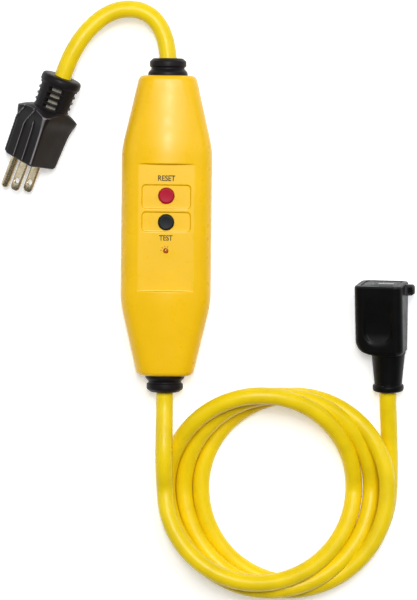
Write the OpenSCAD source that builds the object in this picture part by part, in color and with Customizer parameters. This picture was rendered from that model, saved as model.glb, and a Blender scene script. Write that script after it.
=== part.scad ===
// Portable ground-fault cord set: an in-line housing with reset and test buttons,
// a short line cord with a three-pin plug, and a coiled load cord with a connector.
// Origin: centre of the housing's back, on the surface it lies on.
// +X to the right, +Y towards the plug's cord, +Z out of the front panel.

/* [Housing] */
// Length between the two end faces
housing_l = 175.6; // [175:0.2:180]
// Greatest width
housing_w = 52.8; // [52:0.2:54]
// Greatest depth, back to crown
housing_d = 34.8; // [34.8:0.1:36]
// Length of the part that has the full width
middle_l = 90; // [88:1:92]
// Width of the end faces
end_w = 33; // [32:0.5:34]
// Depth of the end faces
end_d = 28; // [27:0.5:29]
// Thickness of the walls
wall = 3; // [2.8:0.1:3.1]
// Radius of the crowned front
crown_r = 55.7; // [54:0.1:58]

/* [Panel] */
// Depth of the flat panel below the crown
panel_depth = 2.5; // [2.2:0.1:2.6]
// Half-width of the panel
panel_x = 16.5; // [16:0.5:17]
// End of the panel towards the plug
panel_top = 36.4; // [35:0.2:38]
// End of the panel towards the connector
panel_bottom = -37.8; // [-39:0.2:-36]
// Depth of the two wells round the buttons
well_depth = 1; // [0.8:0.1:1.2]
// Width of the wells
well_w = 28.2; // [28:0.2:30]

/* [Buttons] */
// Diameter of the buttons
button_d = 9; // [8.8:0.1:9.2]
// Centre of the reset button
reset_y = 17.9; // [17.5:0.1:18.2]
// Centre of the test button
test_y = 2.5; // [2.2:0.1:2.8]
// Travel of the reset button
reset_travel = 1.8; // [1.5:0.1:2]
// Travel of the test button
test_travel = 1.5; // [1.2:0.1:1.6]
// How far the buttons stand above the floor of their wells
button_proud = 1.5; // [1.2:0.1:1.7]

/* [Cord] */
// Outside diameter of the jacketed cord
cord_d = 10; // [9.8:0.1:10]
// Outside diameter of the insulated wires in it
wire_d = 3; // [2.6:0.1:3.2]

/* [Plug and connector] */
// Distance between the two flat blades
blade_gap = 12.7; // [12.7]
// Distance from the blade line to the ground pin
ground_offset = 11.9; // [11.9]
// Width of a blade
blade_w = 6.35; // [6.35]
// Thickness of a blade
blade_t = 1.5; // [1.5]
// Length of a blade outside the plug
blade_l = 17.9; // [17.5:0.1:18.2]
// Diameter of the ground pin
pin_d = 4.8; // [4.8]
// Length of the ground pin outside the plug
pin_l = 20.6; // [20:0.1:21]
// Diameter of the connector's ground hole
ground_hole_d = 5.5; // [5.5]

/* [Hidden] */
$fn = 48;

eps = 0.01;
cut = 60;
clearance = 0.3;
cord_z = housing_d / 2;
end_y = housing_l / 2;
panel_z = housing_d - panel_depth;
well_z = panel_z - well_depth;
pad_z = well_z - 2;
flange_top = pad_z - 0.2;
flange_z = flange_top - 1.5;
button_top = well_z + button_proud;
screw_x = 18.6;
screw_y = 50;
board_z = 8;
board_t = 1.6;
board_top = board_z + board_t;
post_x = 16.5;
post_y = 34;
pole_x = 6;
contact_y = [reset_y - 10.4, reset_y + 10.6];
contact_z = 13;
latch_z = 20;
roof_z = 21.4;
roof_t = 1.2;
solenoid_z = 20.4;
solenoid_y = [34, 50];
led_y = -14.1;
toroid_z = 19.2;
gland_tip = 10;
gland_tail = 12;
corner_steps = 6;

// The plug lies with its blades low, turned and rolled on the end of its cord
plug_at = [-61.3, 86.2, 21];
plug_heading = -110.4;
plug_pitch = 7;
plug_roll = 32;
plug_l = 54;
plug_neck_l = 20;
blade_root = 38;

// The connector lies on its side, rolled a little, its face raised
connector_at = [132, -96.4, 13];
connector_heading = 91.2;
connector_tilt = 4.5;
connector_roll = -14;
connector_l = 64;
connector_body_s = 22.5;

// Coil of the load cord: an oval ring, the strands stacked where they cross
coil_centre = [67.5, -157];
coil_r = 63.5;
coil_straight = 16;
coil_band = 31;

// Routes of the cord's free stretches, chosen by hand
line_route = [
  [0, 97.8, 17.4], [-0.7, 103, 17.2], [-2, 109, 16.8], [-5, 116, 16.4], [-10, 121.9, 16.2],
  [-16.5, 125.3, 16.4], [-24, 126.2, 17], [-31.5, 124.7, 18], [-38.5, 121, 19.2],
  [-45, 115.3, 20.3], [-50.8, 108.3, 21.2], [-55.4, 100.6, 21.6], [-58.6, 93.6, 21.4],
  [-61.3, 86.2, 21]
];
lead_route = [
  [0, -97.8, 17.4], [0, -107, 18], [0, -116, 20.5], [0, -125, 23.4], [0, -134, 24.8],
  [0.3, -145, 24.2], [1, -156, 22]
];
tail_route = [
  [134, -152, 5.2], [134, -140, 5.2], [133.6, -129, 6], [133.1, -119, 7.8],
  [132.5, -110, 10], [132, -103, 12.1], [132, -96.4, 13]
];

function unit(v) = v / norm(v);

// Corner b of an outline between a and c, rounded to radius r
function corner(a, b, c, r) =
  let (u = unit(a - b), v = unit(c - b), half = acos(u * v) / 2)
  let (centre = b + unit(u + v) * r / sin(half), start = b + u * r / tan(half) - centre)
  let (turn = (180 - 2 * half) * sign(cross(b - a, c - b)), a0 = atan2(start.y, start.x))
  [for (i = [0:corner_steps]) let (t = a0 + turn * i / corner_steps) centre + r * [cos(t), sin(t)]];

// Outline through points, each corner rounded to its own radius
function rounded(points, radii) =
  let (n = len(points))
  [for (i = [0:n - 1]) each corner(points[(i + n - 1) % n], points[i], points[(i + 1) % n], radii[i])];

function box_outline(x0, x1, y0, y1) = [[x0, y0], [x1, y0], [x1, y1], [x0, y1]];

// Rings of a tube of radius r along a route that never runs straight up
function tangent(route, i) =
  unit(route[min(i + 1, len(route) - 1)] - route[max(i - 1, 0)]);
function ring(centre, along, r, sides) =
  let (side = unit(cross(along, [0, 0, 1])), up = cross(side, along))
  [for (k = [0:sides - 1]) centre + r * (cos(360 * k / sides) * side + sin(360 * k / sides) * up)];

module tube(route, d, sides = 10) {
  rings = len(route);
  points = [for (i = [0:rings - 1]) each ring(route[i], tangent(route, i), d / 2, sides)];
  skin = [
    for (i = [0:rings - 2], k = [0:sides - 1])
      let (a = i * sides + k, b = i * sides + (k + 1) % sides) [a, b, b + sides, a + sides]
  ];
  first = [for (k = [sides - 1:-1:0]) k];
  last = [for (k = [0:sides - 1]) (rings - 1) * sides + k];
  polyhedron(points = points, faces = concat([first], skin, [last]));
}

// Compression spring on the Z axis, from z0 to z1
module spring(r, z0, z1, turns, wire = 0.6) {
  steps = 12 * turns;
  rise = z1 - z0 - wire;
  route = [
    for (i = [0:steps]) let (t = 30 * i)
      [r * cos(t), r * sin(t), z0 + wire / 2 + rise * i / steps]
  ];
  tube(route, wire, 6);
}

// Prism of an XZ outline along Y, from y0 to y1
module prism_y(outline, y0, y1) {
  translate([0, y1, 0])
    rotate([90, 0, 0])
      linear_extrude(y1 - y0)
        polygon(outline);
}

// Prism of a YZ outline along X, from x0 to x1
module prism_x(outline, x0, x1) {
  translate([x0, 0, 0])
    rotate([90, 0, 90])
      linear_extrude(x1 - x0)
        polygon(outline);
}

module block(x, y, z) {
  translate([x[0], y[0], z[0]])
    cube([x[1] - x[0], y[1] - y[0], z[1] - z[0]]);
}

module rod_y(r, y0, y1) {
  translate([0, y1, 0])
    rotate([90, 0, 0])
      cylinder(r = r, h = y1 - y0);
}

module rod_x(r, x0, x1) {
  translate([x0, 0, 0])
    rotate([0, 90, 0])
      cylinder(r = r, h = x1 - x0);
}

module in_plug() {
  translate(plug_at)
    rotate([0, 0, plug_heading])
      rotate([0, plug_pitch, 0])
        rotate([plug_roll, 0, 0])
          children();
}

module in_connector() {
  translate(connector_at)
    rotate([0, 0, connector_heading])
      rotate([0, -connector_tilt, 0])
        rotate([connector_roll, 0, 0])
          children();
}

// ---- Housing ----

// Plan view: full width in the middle, tapered to both ends
function plan(inset) =
  let (w = housing_w / 2 - inset, e = end_w / 2 - inset, m = middle_l / 2, l = end_y - inset)
  rounded([[w, -m], [w, m], [e, l], [-e, l], [-w, m], [-w, -m], [-e, -l], [e, -l]],
          [40, 40, 3, 3, 40, 40, 3, 3]);

// Side view, in Y and Z
function side_view(inset) =
  let (m = middle_l / 2, l = end_y - inset + eps, h = housing_d / 2 - inset, e = end_d / 2 - inset)
  [[-m, cord_z - h], [m, cord_z - h], [l, cord_z - e], [l, cord_z + e],
   [m, cord_z + h], [-m, cord_z + h], [-l, cord_z + e], [-l, cord_z - e]];

// End view, in X and Z: softer corners at the front than at the back
function end_view(inset) =
  rounded(box_outline(inset - housing_w / 2, housing_w / 2 - inset, inset, housing_d - inset),
          [6 - inset, 6 - inset, 12 - inset, 12 - inset]);

module housing_solid(inset) {
  intersection() {
    linear_extrude(housing_d)
      polygon(plan(inset));
    prism_x(side_view(inset), -housing_w / 2, housing_w / 2);
    prism_y(end_view(inset), -end_y, end_y);
    translate([0, 0, housing_d - crown_r])
      rod_y(crown_r - inset, -end_y, end_y);
  }
}

module gland_holes() {
  translate([0, 0, cord_z])
    rod_y(8, -cut * 2, cut * 2);
}

module at_screws() {
  for (x = [-screw_x, screw_x], y = [-screw_y, screw_y])
    translate([x, y, 0])
      children();
}

module panel_cut() {
  block([-panel_x, panel_x], [panel_bottom, panel_top], [panel_z, cut]);
  for (span = [[reset_y - 7.5, reset_y + 6.3], [test_y - 5.5, test_y + 5.9]])
    translate([0, 0, well_z])
      linear_extrude(cut)
        polygon(rounded(box_outline(-well_w / 2, well_w / 2, span[0], span[1]), [2, 2, 2, 2]));
}

module front_cover() {
  color("gold")
    difference() {
      union() {
        difference() {
          housing_solid(0);
          housing_solid(wall);
        }
        intersection() {
          housing_solid(1);
          union() {
            block([-panel_x, panel_x], [panel_bottom - 3, panel_top + 3], [pad_z, cut]);
            at_screws()
              translate([0, 0, cord_z])
                cylinder(r = 3.4, h = cut);
          }
        }
      }
      block([-cut, cut], [-cut * 2, cut * 2], [-1, cord_z]);
      panel_cut();
      gland_holes();
      at_screws()
        cylinder(r = 1.3, h = cord_z + 9);
      for (y = [reset_y, test_y])
        translate([0, y, 0])
          cylinder(r = button_d / 2 + clearance, h = cut);
      translate([0, led_y, 0])
        cylinder(r = 1.4, h = cut);
    }
}

module rear_cover() {
  color("gold")
    difference() {
      union() {
        difference() {
          housing_solid(0);
          housing_solid(wall);
        }
        intersection() {
          housing_solid(1);
          at_screws()
            cylinder(r = 4.8, h = cord_z);
        }
        for (x = [-post_x, post_x], y = [-post_y, post_y])
          translate([x, y, wall - 1]) {
            cylinder(r = 2.6, h = board_z - wall + 1);
            cylinder(r = 1.2, h = board_top - wall + 2);
          }
      }
      block([-cut, cut], [-cut * 2, cut * 2], [cord_z, cut]);
      gland_holes();
      seal_ring(0.1);
      at_screws() {
        translate([0, 0, -1])
          cylinder(r = 3.1, h = 7);
        cylinder(r = 1.8, h = cut);
      }
    }
}

// Flat ring in the rim of the rear cover, cut short at the two cord entries
module seal_ring(grow) {
  translate([0, 0, cord_z - 1 - grow])
    difference() {
      linear_extrude(1 + grow)
        polygon(plan(1 - grow));
      translate([0, 0, -1])
        linear_extrude(4)
          polygon(plan(2 + grow));
      block([-8.5, 8.5], [-cut * 2, cut * 2], [-1, 4]);
    }
}

module cover_seal() {
  color("dimgray")
    seal_ring(0);
}

module cover_screws() {
  color("silver")
    at_screws()
      difference() {
        union() {
          translate([0, 0, 3.6])
            cylinder(r = 2.9, h = 2.4);
          translate([0, 0, 6])
            cylinder(r = 1.3, h = cord_z + 2);
        }
        translate([0, 0, 4]) {
          cube([3.4, 0.8, 1.6], center = true);
          cube([0.8, 3.4, 1.6], center = true);
        }
      }
}

// Strain relief on the cord, clamped in the end wall: outline of radius against
// distance out from the end face
gland_outline = [
  [0, -gland_tail], [6.6, -gland_tail], [8, -7.5], [9.5, -6.8], [9.5, -wall], [7.9, -wall],
  [7.9, 0.05], [11.75, 0.05], [11.4, 1.8], [9.7, 3.6], [9.7, 4.6], [10.75, 5.4], [10.75, 8.2],
  [9, gland_tip], [0, gland_tip]
];

module gland() {
  color("#1e1b23")
    translate([0, end_y, cord_z])
      rotate([-90, 0, 0])
        rotate_extrude()
          polygon(gland_outline);
}

module line_gland() {
  gland();
}

module load_gland() {
  mirror([0, 1, 0])
    gland();
}

// ---- Buttons and their springs ----

module button_shape(y, stem_end) {
  translate([0, y, 0])
    rotate_extrude()
      polygon([
        [0, stem_end], [1.6, stem_end], [1.6, flange_z], [5.7, flange_z], [5.7, flange_top],
        [button_d / 2, flange_top], [button_d / 2, button_top - 0.5],
        [button_d / 2 - 0.6, button_top], [0, button_top]
      ]);
}

module reset_button() {
  color("crimson")
    button_shape(reset_y, 13.2 + reset_travel);
}

module test_button() {
  color("#161c2d")
    button_shape(test_y, 14.7 + test_travel);
}

module reset_spring() {
  color("silver")
    translate([0, reset_y, 0])
      spring(2.9, roof_z + roof_t + 0.02, flange_z - 0.02, 3);
}

module test_spring() {
  color("silver")
    translate([0, test_y, 0])
      spring(2.9, roof_z + roof_t + 0.02, flange_z - 0.02, 3);
}

module test_contact() {
  color("goldenrod") {
    block([-2, 2], [test_y + 1.5, test_y + 3], [board_top, 13.4]);
    block([-2, 2], [test_y - 4, test_y + 3], [13.4, 13.9]);
    block([-2, 2], [test_y - 4, test_y - 2.5], [board_top, 11.6]);
  }
}

// ---- Indicator ----

module indicator_lens() {
  color("orangered")
    translate([0, led_y, 0])
      rotate_extrude()
        polygon([[0, 24.6], [1.3, 24.6], [1.3, flange_z + 0.6], [2.2, flange_z + 0.6],
                 [2.2, pad_z], [1.35, pad_z], [1.35, panel_z + 0.1], [0.9, panel_z + 0.4],
                 [0, panel_z + 0.4]]);
}

module indicator_led() {
  color("red")
    translate([0, led_y, 0]) {
      translate([0, 0, 20]) {
        cylinder(r = 1.8, h = 0.8);
        cylinder(r = 1.5, h = 2.8);
        translate([0, 0, 2.8])
          sphere(r = 1.5);
      }
      for (x = [-1.27, 1.27])
        translate([x, 0, board_top])
          cylinder(r = 0.3, h = 20 - board_top);
    }
}

// ---- Circuit board and what is on it ----

module circuit_board() {
  color("seagreen")
    difference() {
      union() {
        block([-13, 13], [-58, 47], [board_z, board_top]);
        block([-20, 20], [-42, 42], [board_z, board_top]);
      }
      for (x = [-post_x, post_x], y = [-post_y, post_y])
        translate([x, y, 0])
          cylinder(r = 1.3, h = cut);
    }
}

module latch_frame() {
  color("ivory")
    difference() {
      union() {
        block([-13, 13], [9, 27], [board_top, roof_z + roof_t]);
        block([-6, 6], [-3.5, 9.5], [roof_z, roof_z + roof_t]);
      }
      block([-10.5, 10.5], [11.5, 24.5], [board_top - 1, roof_z]);
      for (x = [-pole_x, pole_x])
        block([x - 2.5, x + 2.5], [0, 40], [10.6, 17]);
      block([-4.8, 4.8], [20, 30], [19.4, roof_z + eps]);
      for (y = [reset_y, test_y])
        translate([0, y, 0])
          cylinder(r = 1.9, h = cut);
    }
}

module contact_carrier() {
  color("#303030")
    difference() {
      block([-10.1, 10.1], [11.9, 24.1], [12.2, 18]);
      for (x = [-pole_x, pole_x])
        block([x - 2, x + 2], [0, 40], [contact_z + 1, contact_z + 2]);
      translate([0, reset_y, 0])
        cylinder(r = 2.2, h = cut);
    }
}

module moving_contacts() {
  color("goldenrod")
    for (x = [-pole_x, pole_x]) {
      block([x - 2, x + 2], [contact_y[0] - 1.5, contact_y[1] + 1.5], [contact_z + 1, contact_z + 2]);
      for (y = contact_y)
        translate([x, y, contact_z])
          cylinder(r = 1.3, h = 1);
    }
}

module contact_spring() {
  color("silver")
    translate([0, reset_y, 0])
      spring(3.6, board_top + 0.02, 12.18, 2);
}

module fixed_contacts() {
  color("goldenrod")
    for (x = [-1, 1]) {
      for (y = contact_y)
        translate([x * pole_x, y, contact_z - 1])
          cylinder(r = 1.5, h = 1);
      block([min(x * 4.2, x * 7.8), max(x * 4.2, x * 7.8)], [contact_y[0] - 2, contact_y[0] + 1.4],
            [board_top, contact_z - 1]);
      block([min(x * 4.2, x * 15), max(x * 4.2, x * 15)], [contact_y[1] - 1.3, contact_y[1] + 2],
            [board_top, contact_z - 1]);
      block([min(x * 9.4, x * 15), max(x * 9.4, x * 15)], [contact_y[1] + 2, contact_y[1] + 10],
            [board_top, board_top + 5]);
      translate([x * 12.2, contact_y[1] + 6, board_top + 5])
        cylinder(r = 2.1, h = 1.4);
    }
}

module solenoid_coil() {
  color("#b06a35")
    translate([0, 0, solenoid_z])
      difference() {
        union() {
          rod_y(5.8, solenoid_y[0] + 1, solenoid_y[1] - 1);
          rod_y(6.6, solenoid_y[0], solenoid_y[0] + 1.2);
          rod_y(6.6, solenoid_y[1] - 1.2, solenoid_y[1]);
          block([-5, 5], [solenoid_y[0], solenoid_y[0] + 1.2], [board_top - solenoid_z, -5]);
          block([-5, 5], [solenoid_y[1] - 4.2, solenoid_y[1] - 3], [board_top - solenoid_z, -5]);
        }
        rod_y(2.3, solenoid_y[0] - 1, solenoid_y[1] - 2);
      }
}

module solenoid_plunger() {
  color("silver")
    translate([0, 0, solenoid_z])
      rod_y(2, 31.2, solenoid_y[1] - 3);
}

module latch_plate() {
  color("lightsteelblue")
    difference() {
      union() {
        block([-4, 4], [14.3, 30.2], [latch_z, latch_z + 0.8]);
        block([-3, 3], [30, 31.2], [18.2, 22.6]);
      }
      for (y = [reset_y, reset_y + 2.6])
        translate([0, y, 0])
          cylinder(r = 2.1, h = cut);
      block([-2.1, 2.1], [reset_y, reset_y + 2.6], [0, cut]);
    }
}

module toroid(y) {
  color("#2f4f8f")
    translate([0, y, toroid_z])
      rotate([90, 0, 0])
        rotate_extrude()
          polygon(rounded(box_outline(5, 9, -3, 3), [1.2, 1.2, 1.2, 1.2]));
}

module sensing_coil() {
  toroid(-24);
}

module neutral_coil() {
  toroid(-34);
}

module coil_cradle() {
  color("ivory")
    difference() {
      block([-10, 10], [-38.5, -19.5], [board_top, 15]);
      for (y = [-24, -34])
        translate([0, 0, toroid_z])
          rod_y(9.05, y - 3.1, y + 3.1);
      translate([0, 0, toroid_z])
        rod_y(6.2, -40, -18);
    }
}

module control_chip() {
  color("#202020") {
    block([-18, -12], [-13, -3], [board_top + 0.8, board_top + 4]);
    for (x = [-18.6, -12], y = [-11.8, -9.3, -6.8, -4.3])
      block([x, x + 0.6], [y, y + 0.6], [board_top, board_top + 3]);
  }
}

module filter_capacitor() {
  color("royalblue")
    translate([15, -8, board_top])
      cylinder(r = 4, h = 12);
}

module surge_varistor() {
  color("darkorange")
    translate([0, 0, board_top + 6.5])
      rod_y(6.5, -51, -47);
}

module test_resistor() {
  color("tan") {
    translate([-14.5, 0, board_top + 1.6])
      rod_y(1.6, 1, 8);
    translate([-14.5, 0, board_top + 1.6])
      rod_y(0.35, -1.5, 10.5);
    for (y = [-1.5, 10.1])
      block([-14.85, -14.15], [y, y + 0.4], [board_top, board_top + 1.6]);
  }
}

module rectifier_diodes() {
  color("#282828")
    for (i = [0:3])
      translate([14.6 + i % 2 * 3.4, 0, board_top + 1.3])
        rod_y(1.3, i < 2 ? 2 : 9, i < 2 ? 7 : 14);
}

// ---- Wires inside the housing ----

line_wire_route = [
  [3, 75.2, 18.4], [4.5, 69, 18.2], [8, 62, 17], [11, 54, 14.4], [12.2, 47, 12.2], [12.2, 38.6, 12.1]
];
conductor_route = [
  [6, 5.4, 11.2], [6, 0, 11.4], [5.9, -8, 13.4], [5, -15, 16.8], [2.6, -20, 19], [2, -24, 19.2],
  [2, -36, 19.2], [4.6, -42, 17.6], [8.8, -47, 13.6], [9.4, -53, 11.8]
];
load_wire_route = [
  [9.3, -54.2, 11.9], [8.6, -60, 13], [6.4, -67, 16.6], [3, -74.8, 18.4]
];
ground_route = [
  [0, 74.9, 13.4], [2, 68.5, 11], [6, 60, 6.6], [9, 50, 5.4], [9, 0, 5.4], [9, -50, 5.4],
  [6, -60, 6.6], [2, -68.5, 11], [0, -74.9, 13.4]
];

module wire_pair(route) {
  tube(route, wire_d, 8);
  mirror([1, 0, 0])
    tube(route, wire_d, 8);
}

module line_wires() {
  color("#2a2a2a")
    wire_pair(line_wire_route);
}

module load_conductors() {
  color("#c87533")
    wire_pair(conductor_route);
}

module load_wires() {
  color("#2a2a2a")
    wire_pair(load_wire_route);
}

module ground_wire() {
  color("green")
    tube(ground_route, wire_d, 8);
}

// ---- Line cord and plug ----

module line_cord() {
  color("#f0d419")
    tube(line_route, cord_d);
}

// Outline across the plug's body, in Y and Z: narrower at the ground pin
function plug_outline(grow) =
  rounded([[-16.4 - grow, -7.2 - grow], [9.2 + grow, -12.2 - grow],
           [9.2 + grow, 12.2 + grow], [-16.4 - grow, 7.2 + grow]],
          [4.5, 3, 3, 4.5]);

module plug_neck() {
  rotate([0, 90, 0])
    rotate_extrude()
      polygon([[0, 0], [10.6, 0], [11.9, 1.3], [11.9, 4.6], [10.7, 5.2], [10.2, plug_neck_l + 1],
               [0, plug_neck_l + 1]]);
}

// Slots that let the neck flex: three rows, staggered round the neck
module plug_slots() {
  for (row = [0:2], side = [0:3])
    rotate([90 * side - plug_roll, 0, 0])
      block([7.4 + 3.9 * row, 9.6 + 3.9 * row], [-4.5, 4.5], [7, 20]);
}

// Sloping shoulder from the neck out to the widest part, with a lip for the fingers
module plug_shoulder() {
  hull() {
    rod_x(10.4, plug_neck_l, plug_neck_l + 1);
    translate([plug_neck_l + 3.4, 0, 0])
      scale([1, 1, 1.18])
        prism_x(plug_outline(1.6), 0, 1.2);
  }
}

// Grip, deeper at the shoulder than at the face
module plug_grip() {
  translate([plug_l, 0, 0])
    rotate([0, -90, 0])
      linear_extrude(plug_l - plug_neck_l - 2, scale = [1.18, 1])
        polygon([for (p = plug_outline(0)) [p.y, p.x]]);
}

module plug_body() {
  color("#2a2626")
    in_plug()
      difference() {
        union() {
          plug_neck();
          plug_shoulder();
          plug_grip();
        }
        plug_slots();
        prism_x(plug_outline(-1.5), blade_root - 4, plug_l + 1);
      }
}

module plug_core() {
  color("#383434")
    in_plug()
      difference() {
        prism_x(plug_outline(-1.5), 46, plug_l);
        for (z = [-blade_gap / 2, blade_gap / 2])
          block([40, plug_l + 1], [-blade_w / 2, blade_w / 2], [z - blade_t / 2, z + blade_t / 2]);
        translate([0, -ground_offset, 0])
          rod_x(2.8, 40, plug_l + 1);
      }
}

module blade(z) {
  color("#cbb98a")
    in_plug()
      translate([0, 0, z])
        difference() {
          union() {
            translate([0, 0, -blade_t / 2])
              linear_extrude(blade_t)
                polygon(rounded(box_outline(blade_root, plug_l + blade_l, -blade_w / 2, blade_w / 2),
                                [0.4, 1.6, 1.6, 0.4]));
            rod_x(1.9, blade_root, blade_root + 6);
          }
          translate([plug_l + 11.9, 0, -blade_t])
            cylinder(r = 1.6, h = blade_t * 2);
        }
}

module hot_blade() {
  blade(blade_gap / 2);
}

module neutral_blade() {
  blade(-blade_gap / 2);
}

module ground_pin() {
  color("#cbb98a")
    in_plug()
      translate([0, -ground_offset, 0]) {
        rod_x(2.8, blade_root, plug_l);
        rod_x(pin_d / 2, plug_l - 1, plug_l + pin_l - pin_d / 2);
        translate([plug_l + pin_l - pin_d / 2, 0, 0])
          sphere(r = pin_d / 2);
      }
}

// ---- Load cord and connector ----

module load_cord_lead() {
  color("#f0d419")
    tube(lead_route, cord_d);
}

module load_cord_tail() {
  color("#f0d419")
    tube(tail_route, cord_d);
}

// Oval of two half circles of radius r and the straight sides between them
module oval(r) {
  translate(coil_centre) {
    square([coil_straight, 2 * r], center = true);
    for (side = [-1, 1])
      translate([side * coil_straight / 2, 0])
        circle(r);
  }
}

// Oval ring of the given band width and height, between two distances across
module coil_ring(band, height, y0, y1) {
  linear_extrude(height)
    intersection() {
      difference() {
        oval(coil_r);
        oval(coil_r - band);
      }
      translate([coil_centre.x - cut * 2, coil_centre.y + y0])
        square([cut * 4, y1 - y0]);
    }
}

module load_cord_coil() {
  color("#f0d419") {
    coil_ring(coil_band, 10, -cut * 2, cut * 2);
    coil_ring(17, 40, -cut * 2, 3);
    coil_ring(12.5, 35, 33, cut * 2);
  }
}

module connector_neck() {
  rotate([0, 90, 0])
    rotate_extrude()
      polygon([[0, 0], [8.2, 0], [9.2, 0.9], [9.2, 2.9], [8.2, 3.8], [8.1, 4.4],
               [9.9, connector_body_s + 2], [0, connector_body_s + 2]]);
}

// Side view of the connector's body, in X and Z: it thickens towards the face
connector_side = [
  [connector_body_s, -10.6], [connector_l, -14.4], [connector_l, 14.4], [connector_body_s, 10.6]
];

module connector_shell() {
  intersection() {
    translate([0, 0, -20])
      linear_extrude(40)
        polygon(rounded([[connector_body_s, -10.2], [connector_l, -10.2], [connector_l, 18.2],
                         [connector_body_s, 18.2]], [3, 1, 1, 9]));
    rotate([90, 0, 0])
      translate([0, 0, -30])
        linear_extrude(60)
          polygon(rounded(connector_side, [3, 1, 1, 3]));
    prism_x(rounded(box_outline(-10.2, 18.2, -14.6, 14.6), [5, 5, 5, 5]), 0, connector_l);
  }
}

// U-shaped recess on each broad side, deepest at its foot
module thumb_recess() {
  for (z = [-1, 1])
    intersection() {
      translate([0, 0, z > 0 ? 0 : -20])
        linear_extrude(20)
          polygon(rounded(box_outline(28, 56.6, -5, 13), [8.8, 4, 4, 8.8]));
      rotate([90, 0, 0])
        translate([0, 0, -30])
          linear_extrude(60)
            polygon([[27, z * 9.4], [58, z * 13.8], [58, z * 20], [27, z * 20]]);
    }
}

module connector_body() {
  color("#141414")
    in_connector()
      difference() {
        union() {
          connector_neck();
          connector_shell();
          block([57.4, 63.8], [-15.7, -10], [-2, 2]);
        }
        for (z = [-3, 0.6])
          translate([60.6, -13.5, z])
            cylinder(r = 1.2, h = 2.4);
        prism_x(rounded(box_outline(-8.6, 16.4, -10.4, 10.4), [3, 3, 3, 3]), 40, connector_l + 1);
        thumb_recess();
      }
}

module connector_face() {
  color("#1c1c1c")
    in_connector()
      difference() {
        prism_x(rounded(box_outline(-8.6, 16.4, -10.4, 10.4), [3, 3, 3, 3]), 47, connector_l);
        for (z = [-blade_gap / 2, blade_gap / 2]) {
          block([46, connector_l + 1], [-3.6, 3.6], [z - 1.1, z + 1.1]);
          block([46, 60], [-3.6, 3.6], [z - 2.2, z + 2.2]);
        }
        translate([0, ground_offset, 0]) {
          rod_x(ground_hole_d / 2, 46, connector_l + 1);
          rod_x(3.6, 46, 56);
        }
      }
}

module blade_contact(z) {
  color("goldenrod")
    in_connector()
      for (side = [-1, 1])
        block([44, 59], [-3, 3], [z + side * 1.6 - 0.4, z + side * 1.6 + 0.4]);
}

module hot_contact() {
  blade_contact(blade_gap / 2);
}

module neutral_contact() {
  blade_contact(-blade_gap / 2);
}

module ground_contact() {
  color("goldenrod")
    in_connector()
      translate([0, ground_offset, 0])
        difference() {
          rod_x(3.4, 44, 55.5);
          rod_x(2.8, 43, 58);
        }
}

front_cover();
rear_cover();
cover_seal();
cover_screws();
line_gland();
load_gland();
reset_button();
reset_spring();
test_button();
test_spring();
test_contact();
indicator_lens();
indicator_led();
circuit_board();
latch_frame();
contact_carrier();
moving_contacts();
contact_spring();
fixed_contacts();
solenoid_coil();
solenoid_plunger();
latch_plate();
coil_cradle();
sensing_coil();
neutral_coil();
control_chip();
filter_capacitor();
surge_varistor();
test_resistor();
rectifier_diodes();
line_wires();
load_conductors();
load_wires();
ground_wire();
line_cord();
plug_body();
plug_core();
hot_blade();
neutral_blade();
ground_pin();
load_cord_lead();
load_cord_coil();
load_cord_tail();
connector_body();
connector_face();
hot_contact();
neutral_contact();
ground_contact();
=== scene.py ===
"""Looks of the in-line ground-fault cord set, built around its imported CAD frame."""
import math

import bmesh
import bpy
from mathutils import Matrix, Vector


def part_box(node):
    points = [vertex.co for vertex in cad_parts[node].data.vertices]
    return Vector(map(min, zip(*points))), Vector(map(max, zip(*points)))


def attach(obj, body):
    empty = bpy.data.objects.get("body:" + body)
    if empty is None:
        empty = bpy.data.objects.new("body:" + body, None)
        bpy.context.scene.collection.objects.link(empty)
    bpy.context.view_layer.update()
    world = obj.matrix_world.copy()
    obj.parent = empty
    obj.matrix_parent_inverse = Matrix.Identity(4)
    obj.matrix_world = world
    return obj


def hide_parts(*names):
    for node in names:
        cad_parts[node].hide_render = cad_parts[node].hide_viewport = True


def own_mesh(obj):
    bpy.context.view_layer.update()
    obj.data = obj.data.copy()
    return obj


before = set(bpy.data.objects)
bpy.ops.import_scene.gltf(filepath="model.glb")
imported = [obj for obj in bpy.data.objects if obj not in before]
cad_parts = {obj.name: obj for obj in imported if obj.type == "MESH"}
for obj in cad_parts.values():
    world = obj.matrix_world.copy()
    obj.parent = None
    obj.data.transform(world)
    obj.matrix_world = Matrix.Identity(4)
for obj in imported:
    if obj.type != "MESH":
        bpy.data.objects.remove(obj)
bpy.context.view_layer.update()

MM = 0.001
ROOT = "housing"

# ---------------------------------------------------------------- materials


def shader(name, color, roughness, **sockets):
    """A new Principled material, its tree, and its shader node."""
    mat = bpy.data.materials.new(name)
    mat.use_nodes = True
    node = mat.node_tree.nodes["Principled BSDF"]
    node.inputs["Base Color"].default_value = (*color, 1)
    node.inputs["Roughness"].default_value = roughness
    for socket, value in sockets.items():
        node.inputs[socket.replace("_", " ")].default_value = value
    return mat, mat.node_tree, node


def noise(tree, scale, detail=4, stretch=(1, 1, 1)):
    """Noise over the object's own coordinates, in features per metre."""
    coords = tree.nodes.new("ShaderNodeTexCoord")
    mapping = tree.nodes.new("ShaderNodeMapping")
    mapping.inputs["Scale"].default_value = stretch
    texture = tree.nodes.new("ShaderNodeTexNoise")
    texture.inputs["Scale"].default_value = scale
    texture.inputs["Detail"].default_value = detail
    tree.links.new(coords.outputs["Object"], mapping.inputs["Vector"])
    tree.links.new(mapping.outputs["Vector"], texture.inputs["Vector"])
    return texture.outputs["Fac"]


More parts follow.
